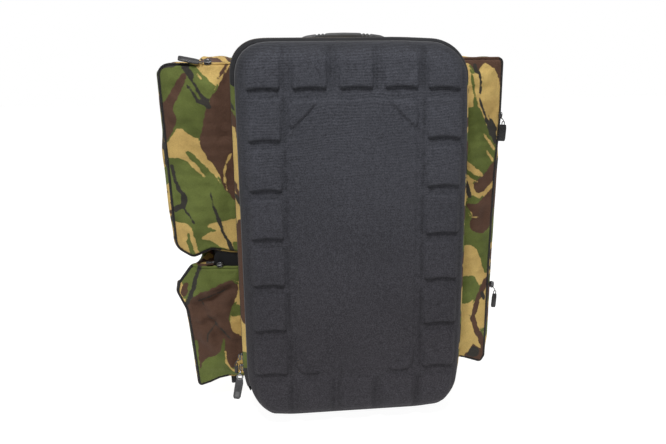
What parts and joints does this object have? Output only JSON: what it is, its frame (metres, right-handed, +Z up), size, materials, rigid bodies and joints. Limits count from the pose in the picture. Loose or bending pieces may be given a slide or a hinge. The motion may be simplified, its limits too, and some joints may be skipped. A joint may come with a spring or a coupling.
{
  "type": "tackle backpack",
  "caption": "Tall fabric tackle rucksack with a moulded drop-down front lid, zipped side pockets, a top grab handle and padded back straps.",
  "frame": {"origin": "on the ground under the middle of the bag's base", "axes": "+Z up, +X to the right seen from the front, -Y towards the front lid, +Y towards the wearer's back"},
  "size_m": [0.5559, 0.3188, 0.6185],
  "materials": {
    "camo_fabric": "woven woodland print, matt",
    "base_fabric": "coated black fabric, satin",
    "moulded_lid": "fine charcoal knit over moulded foam, matt",
    "binding_tape": "ribbed grosgrain tape, matt",
    "zip_chain": "black coil on woven tape",
    "slider_metal": "bright nickel",
    "rubber_pull": "dark grey, satin",
    "handle_rubber": "moulded, satin",
    "black_acetal": "fine satin grain",
    "frame_plastic": "smooth, matt",
    "air_mesh": "spacer mesh over foam, matt",
    "black_webbing": "ribbed webbing, low sheen"
  },
  "bodies": {
    "pack": {"body_shell": "camo_fabric", "base_tray": "base_fabric", "frame_sheet": "frame_plastic", "lid_hinge_strip": "base_fabric", "zip_chain_pack": "zip_chain", "handle_anchor_left": "black_acetal", "handle_anchor_right": "black_acetal", "pocket_left_upper_tub": "camo_fabric", "pocket_left_lower_tub": "camo_fabric", "pocket_right_tub": "camo_fabric", "pocket_left_upper_zip": "zip_chain", "pocket_left_lower_zip": "zip_chain", "pocket_right_zip": "zip_chain", "back_pad_left": "air_mesh", "back_pad_right": "air_mesh", "lumbar_pad": "air_mesh", "strap_yoke": "black_webbing", "strap_anchor_left": "black_webbing", "strap_anchor_right": "black_webbing"},
    "lid": {"lid_shell": "moulded_lid", "lid_binding": "binding_tape", "lid_gusset": "camo_fabric", "zip_chain_lid": "zip_chain"},
    "main_slider_low": {"main_slider_lower": "slider_metal"},
    "main_slider_high": {"main_slider_upper": "slider_metal"},
    "main_pull_low": {"main_puller_ring": "slider_metal", "main_puller_tab": "rubber_pull"},
    "main_pull_high": {"main_puller_upper": "rubber_pull"},
    "handle": {"handle_grip": "handle_rubber"},
    "door_left_upper": {"pocket_left_upper_door": "camo_fabric"},
    "door_left_lower": {"pocket_left_lower_door": "camo_fabric"},
    "door_right": {"pocket_right_door": "camo_fabric"},
    "slide_left_upper": {"slider_left_upper": "slider_metal"},
    "pull_left_upper": {"puller_left_upper": "rubber_pull"},
    "slide_left_lower": {"slider_left_lower": "slider_metal"},
    "pull_left_lower": {"puller_left_lower": "rubber_pull"},
    "slide_right_upper": {"slider_right_upper": "slider_metal"},
    "pull_right_upper": {"puller_right_upper": "rubber_pull"},
    "slide_right_lower": {"slider_right_lower": "slider_metal"},
    "pull_right_lower": {"puller_right_lower": "rubber_pull"},
    "strap_left": {"shoulder_pad_left": "air_mesh", "strap_root_left": "black_webbing", "ladder_lock_left": "black_acetal", "strap_webbing_left": "black_webbing"},
    "strap_right": {"shoulder_pad_right": "air_mesh", "strap_root_right": "black_webbing", "ladder_lock_right": "black_acetal", "strap_webbing_right": "black_webbing"},
    "belt_left": {"belt_wing_left": "air_mesh", "belt_webbing_left": "black_webbing", "belt_buckle_socket": "black_acetal"},
    "belt_right": {"belt_wing_right": "air_mesh", "belt_webbing_right": "black_webbing", "belt_buckle_plug": "black_acetal"}
  },
  "joints": [
    {"name": "lid_hinge", "type": "hinge", "parent": "pack", "child": "lid", "pos_m": [0, -0.12, 0.028], "axis": [1, 0, 0], "range_deg": [0, 90]},
    {"name": "main_slider_low_travel", "type": "slide", "parent": "pack", "child": "main_slider_low", "axis": [0, 0, 1], "range_m": [0, 0.12]},
    {"name": "main_slider_high_travel", "type": "slide", "parent": "main_slider_low", "child": "main_slider_high", "axis": [0, 0, 1], "range_m": [0, 0.28]},
    {"name": "main_pull_low_swing", "type": "hinge", "parent": "main_slider_low", "child": "main_pull_low", "pos_m": [-0.1865, -0.096, 0.07545], "axis": [-1, 0, 0], "range_deg": [0, 120]},
    {"name": "main_pull_high_swing", "type": "hinge", "parent": "main_slider_high", "child": "main_pull_high", "pos_m": [-0.1916, -0.089, 0.094], "axis": [-1, 0, 0], "range_deg": [0, 120]},
    {"name": "handle_swing", "type": "hinge", "parent": "pack", "child": "handle", "pos_m": [0, 0, 0.601], "axis": [1, 0, 0], "range_deg": [-80, 80]},
    {"name": "left_upper_door_hinge", "type": "hinge", "parent": "pack", "child": "door_left_upper", "pos_m": [-0.206, -0.043, 0.42], "axis": [0, 0, 1], "range_deg": [0, 90]},
    {"name": "left_lower_door_hinge", "type": "hinge", "parent": "pack", "child": "door_left_lower", "pos_m": [-0.206, -0.043, 0.15], "axis": [0, 0, 1], "range_deg": [0, 90]},
    {"name": "right_door_hinge", "type": "hinge", "parent": "pack", "child": "door_right", "pos_m": [0.2, -0.043, 0.3], "axis": [0, 0, -1], "range_deg": [0, 90]},
    {"name": "left_upper_slider_travel", "type": "slide", "parent": "pack", "child": "slide_left_upper", "axis": [1, 0, 0], "range_m": [-0.035, 0.008]},
    {"name": "left_upper_pull_swing", "type": "hinge", "parent": "slide_left_upper", "child": "pull_left_upper", "pos_m": [-0.225, -0.04, 0.5811], "axis": [0, 1, 0], "range_deg": [0, 120]},
    {"name": "left_lower_slider_travel", "type": "slide", "parent": "pack", "child": "slide_left_lower", "axis": [1, 0, 0], "range_m": [-0.03, 0]},
    {"name": "left_lower_pull_swing", "type": "hinge", "parent": "slide_left_lower", "child": "pull_left_lower", "pos_m": [-0.223, -0.04, 0.2536], "axis": [0, 1, 0], "range_deg": [0, 120]},
    {"name": "right_upper_slider_travel", "type": "slide", "parent": "pack", "child": "slide_right_upper", "axis": [0, 0, 1], "range_m": [-0.12, 0.05]},
    {"name": "right_upper_pull_swing", "type": "hinge", "parent": "slide_right_upper", "child": "pull_right_upper", "pos_m": [0.2545, -0.05, 0.476], "axis": [-1, 0, 0], "range_deg": [0, 120]},
    {"name": "right_lower_slider_travel", "type": "slide", "parent": "pack", "child": "slide_right_lower", "axis": [0, 0, 1], "range_m": [-0.1, 0.1]},
    {"name": "right_lower_pull_swing", "type": "hinge", "parent": "slide_right_lower", "child": "pull_right_lower", "pos_m": [0.2545, -0.05, 0.184], "axis": [-1, 0, 0], "range_deg": [0, 120]},
    {"name": "strap_left_swing", "type": "hinge", "parent": "pack", "child": "strap_left", "pos_m": [-0.062, 0.104, 0.54], "axis": [0.1595, 0, 0.9872], "range_deg": [-20, 20]},
    {"name": "strap_right_swing", "type": "hinge", "parent": "pack", "child": "strap_right", "pos_m": [0.062, 0.104, 0.54], "axis": [-0.1595, 0, 0.9872], "range_deg": [-20, 20]},
    {"name": "belt_left_swing", "type": "hinge", "parent": "pack", "child": "belt_left", "pos_m": [-0.093, 0.102, 0.08], "axis": [0, 0, -1], "range_deg": [-15, 50]},
    {"name": "belt_right_swing", "type": "hinge", "parent": "pack", "child": "belt_right", "pos_m": [0.093, 0.102, 0.08], "axis": [0, 0, 1], "range_deg": [-15, 50]}
  ]
}
